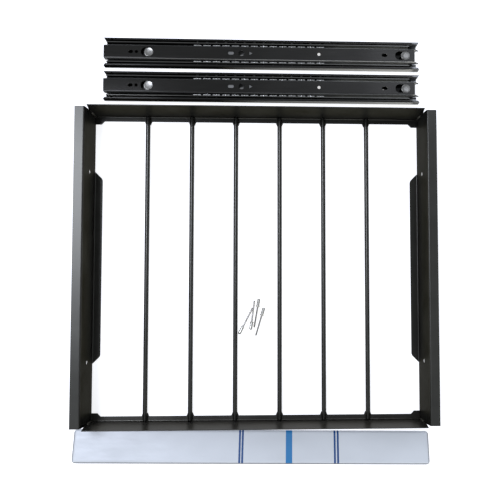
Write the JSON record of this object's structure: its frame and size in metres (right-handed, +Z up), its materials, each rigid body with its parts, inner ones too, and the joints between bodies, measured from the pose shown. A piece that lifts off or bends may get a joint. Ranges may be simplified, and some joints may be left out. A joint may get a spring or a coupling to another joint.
{
  "type": "slide-out wine rack",
  "caption": "Slide-out wine rack laid out as a kit: welded tray frame with bottle rods, folded front strip, telescopic slides and blind rivets.",
  "frame": {"origin": "on the floor, under the middle of the whole laid-out kit", "axes": "+Y from the front strip past the rack to the slides, +X to the right seen from the front, +Z up"},
  "size_m": [0.5506, 0.6702, 0.064],
  "materials": {
    "rack_powder_coat": "satin black powder coat",
    "rod_powder_coat": "satin black powder coat",
    "strip_steel": "brushed stainless",
    "strip_film": "bluish white protective film",
    "rivet_aluminium": "bright",
    "mandrel_steel": "zinc plated",
    "slide_black": "black plated, satin",
    "cage_black": "black, satin",
    "ball_steel": "polished",
    "disc_steel": "bright",
    "buffer_black": "matte"
  },
  "bodies": {
    "base": {"frame_left_rail": "rack_powder_coat", "frame_right_rail": "rack_powder_coat", "frame_front_rail": "rack_powder_coat", "frame_back_rail": "rack_powder_coat", "corner_welds": "rack_powder_coat", "bottle_rod_1": "rod_powder_coat", "bottle_rod_2": "rod_powder_coat", "bottle_rod_3": "rod_powder_coat", "bottle_rod_4": "rod_powder_coat", "bottle_rod_5": "rod_powder_coat", "bottle_rod_6": "rod_powder_coat", "front_strip": "strip_steel", "protective_film": "strip_film", "rivet_bodies": "rivet_aluminium", "rivet_mandrels": "mandrel_steel", "slide_1_outer_member": "slide_black", "slide_1_rear_buffer": "buffer_black", "slide_2_outer_member": "slide_black", "slide_2_rear_buffer": "buffer_black"},
    "slide_1_inner": {"slide_1_inner_member": "slide_black", "slide_1_disc_studs": "disc_steel"},
    "slide_1_middle": {"slide_1_middle_member": "slide_black"},
    "slide_1_inner_race": {"slide_1_inner_ball_cage": "cage_black", "slide_1_inner_balls": "ball_steel"},
    "slide_1_outer_race": {"slide_1_outer_ball_cage": "cage_black", "slide_1_outer_balls": "ball_steel"},
    "slide_2_inner": {"slide_2_inner_member": "slide_black", "slide_2_disc_studs": "disc_steel"},
    "slide_2_middle": {"slide_2_middle_member": "slide_black"},
    "slide_2_inner_race": {"slide_2_inner_ball_cage": "cage_black", "slide_2_inner_balls": "ball_steel"},
    "slide_2_outer_race": {"slide_2_outer_ball_cage": "cage_black", "slide_2_outer_balls": "ball_steel"}
  },
  "joints": [
    {"name": "slide_1_pull", "type": "slide", "parent": "base", "child": "slide_1_inner", "axis": [-1, 0, 0], "range_m": [0, 0.5]},
    {"name": "slide_1_middle_travel", "type": "slide", "parent": "base", "child": "slide_1_middle", "axis": [-1, 0, 0], "range_m": [0, 0.25]},
    {"name": "slide_1_inner_race_travel", "type": "slide", "parent": "base", "child": "slide_1_inner_race", "axis": [-1, 0, 0], "range_m": [0, 0.375]},
    {"name": "slide_1_outer_race_travel", "type": "slide", "parent": "base", "child": "slide_1_outer_race", "axis": [-1, 0, 0], "range_m": [0, 0.125]},
    {"name": "slide_2_pull", "type": "slide", "parent": "base", "child": "slide_2_inner", "axis": [-1, 0, 0], "range_m": [0, 0.5]},
    {"name": "slide_2_middle_travel", "type": "slide", "parent": "base", "child": "slide_2_middle", "axis": [-1, 0, 0], "range_m": [0, 0.25]},
    {"name": "slide_2_inner_race_travel", "type": "slide", "parent": "base", "child": "slide_2_inner_race", "axis": [-1, 0, 0], "range_m": [0, 0.375]},
    {"name": "slide_2_outer_race_travel", "type": "slide", "parent": "base", "child": "slide_2_outer_race", "axis": [-1, 0, 0], "range_m": [0, 0.125]}
  ],
  "couplings": [
    {"joint": "slide_1_middle_travel", "follows": "slide_1_pull", "ratio": 0.5},
    {"joint": "slide_1_inner_race_travel", "follows": "slide_1_pull", "ratio": 0.75},
    {"joint": "slide_1_outer_race_travel", "follows": "slide_1_pull", "ratio": 0.25},
    {"joint": "slide_2_middle_travel", "follows": "slide_2_pull", "ratio": 0.5},
    {"joint": "slide_2_inner_race_travel", "follows": "slide_2_pull", "ratio": 0.75},
    {"joint": "slide_2_outer_race_travel", "follows": "slide_2_pull", "ratio": 0.25}
  ]
}
